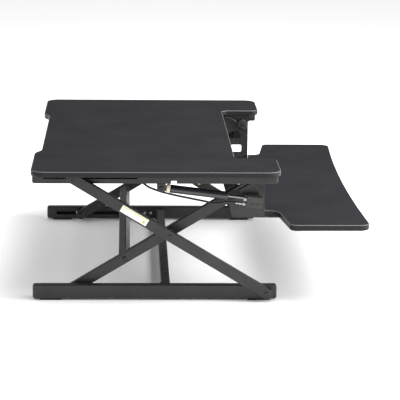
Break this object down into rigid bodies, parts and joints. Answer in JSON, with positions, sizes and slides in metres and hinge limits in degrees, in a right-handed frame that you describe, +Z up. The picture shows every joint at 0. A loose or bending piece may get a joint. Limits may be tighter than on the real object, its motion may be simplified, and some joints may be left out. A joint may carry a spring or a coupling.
{
  "type": "standing desk converter",
  "caption": "Sit-stand desktop riser on side scissor arms with gas springs, slotted slide rails, squeeze release paddles and a lowered keyboard tray.",
  "frame": {"origin": "on the floor, midway between the two base rails and midway along the whole length, from the tray's front corners to the desktop's rear edge", "axes": "+X to the right of the person using the desk, +Y to the rear of the desk, +Z up"},
  "size_m": [0.914, 0.762, 0.314],
  "materials": {
    "board": "black textured laminate on fibreboard",
    "frame_paint": "satin black powder coat",
    "bracket_paint": "satin black powder coat",
    "cylinder_paint": "gloss black paint",
    "black_plastic": "moulded black plastic",
    "pale_plastic": "cream moulded plastic",
    "nylon": "natural nylon",
    "rubber": "black rubber",
    "cable_sheath": "black cable sheath",
    "black_steel": "black oxide steel",
    "zinc_steel": "bright zinc plated steel",
    "rod_chrome": "ground chrome rod",
    "cast_grey": "grey painted casting",
    "label_film": "plain pale sticker, no text"
  },
  "bodies": {
    "base": {"base_rail_left": "frame_paint", "base_rail_right": "frame_paint", "base_end_caps": "black_plastic", "foot_pads": "rubber", "base_cross_tube": "frame_paint", "base_joint_plates": "bracket_paint", "base_joint_screws": "zinc_steel", "lower_pivot_bolts": "black_steel", "lower_pivot_washers": "black_plastic", "lower_pivot_nuts": "black_steel"},
    "outer_arms": {"outer_arm_left": "frame_paint", "outer_arm_right": "frame_paint", "outer_arm_plugs": "black_plastic", "outer_arm_bushes": "frame_paint", "centre_pivot_bolts": "black_steel", "centre_pivot_spacers": "black_steel", "centre_pivot_nuts": "black_steel", "top_slider_axles": "black_steel", "arm_label": "label_film"},
    "top_sliders": {"top_slide_blocks": "nylon"},
    "inner_arms": {"inner_arm_left": "frame_paint", "inner_arm_right": "frame_paint", "inner_arm_plugs": "black_plastic", "inner_arm_bushes": "frame_paint", "inner_crossbar": "frame_paint", "crossbar_bolts": "black_steel", "spring_lugs": "frame_paint", "base_slider_axles": "black_steel"},
    "base_sliders": {"base_slide_blocks": "nylon"},
    "platform": {"desktop": "board", "top_rail_left": "frame_paint", "top_rail_right": "frame_paint", "top_end_caps": "black_plastic", "desktop_screws": "zinc_steel", "upper_pivot_bolts": "black_steel", "upper_pivot_spacers": "black_steel", "upper_pivot_nuts": "black_steel", "spring_mounts": "frame_paint", "spring_mount_pins": "black_steel", "keyboard_tray": "board", "tray_bracket_left": "bracket_paint", "tray_bracket_right": "bracket_paint", "bracket_screws": "black_steel", "tray_screws": "zinc_steel", "lever_pins": "black_steel", "release_cable_left": "cable_sheath", "release_cable_right": "cable_sheath"},
    "spring_cylinders": {"spring_cylinder_left": "cylinder_paint", "spring_cylinder_right": "cylinder_paint", "spring_collars": "pale_plastic", "cable_leads": "cable_sheath"},
    "spring_rods": {"spring_rod_left": "rod_chrome", "spring_rod_right": "rod_chrome", "spring_pistons": "nylon", "rod_lock_nuts": "zinc_steel", "release_heads": "cast_grey", "spring_end_pins": "black_steel"},
    "release_lever_left": {"release_lever_left": "black_plastic"},
    "release_lever_right": {"release_lever_right": "black_plastic"}
  },
  "joints": [
    {"name": "lift", "type": "hinge", "parent": "base", "child": "outer_arms", "pos_m": [0, -0.15449, 0.0195], "axis": [1, 0, 0], "range_deg": [-17, 23]},
    {"name": "scissor", "type": "hinge", "parent": "outer_arms", "child": "inner_arms", "pos_m": [0, 0.06728, 0.15425], "axis": [1, 0, 0], "range_deg": [-46.5, 34.5]},
    {"name": "desk_level", "type": "hinge", "parent": "inner_arms", "child": "platform", "pos_m": [0, -0.15449, 0.289], "axis": [1, 0, 0], "range_deg": [-17.25, 23.25]},
    {"name": "base_slider_level", "type": "hinge", "parent": "inner_arms", "child": "base_sliders", "pos_m": [0, 0.28905, 0.0195], "axis": [1, 0, 0], "range_deg": [-17.25, 23.25]},
    {"name": "top_slider_level", "type": "hinge", "parent": "outer_arms", "child": "top_sliders", "pos_m": [0, 0.28905, 0.289], "axis": [1, 0, 0], "range_deg": [-23.25, 17.25]},
    {"name": "spring_tilt", "type": "hinge", "parent": "platform", "child": "spring_cylinders", "pos_m": [0, 0.08851, 0.2625], "axis": [1, 0, 0], "range_deg": [-1.64, 2.2]},
    {"name": "spring_stroke", "type": "slide", "parent": "spring_cylinders", "child": "spring_rods", "axis": [0, -0.9926, -0.1211], "range_m": [-0.01728, 0.02327]},
    {"name": "squeeze_left", "type": "hinge", "parent": "platform", "child": "release_lever_left", "pos_m": [-0.304, -0.13699, 0.279], "axis": [-1, 0, 0], "range_deg": [0, 14], "stiffness_Nm_per_rad": 0.6},
    {"name": "squeeze_right", "type": "hinge", "parent": "platform", "child": "release_lever_right", "pos_m": [0.304, -0.13699, 0.279], "axis": [-1, 0, 0], "range_deg": [0, 14], "stiffness_Nm_per_rad": 0.6}
  ],
  "couplings": [
    {"joint": "scissor", "follows": "lift", "ratio": -2},
    {"joint": "desk_level", "follows": "lift", "ratio": 1},
    {"joint": "base_slider_level", "follows": "lift", "ratio": 1},
    {"joint": "top_slider_level", "follows": "lift", "ratio": -1},
    {"joint": "spring_tilt", "follows": "lift", "ratio": 0.0933},
    {"joint": "spring_stroke", "follows": "lift", "m_per_rad": 0.05722}
  ]
}
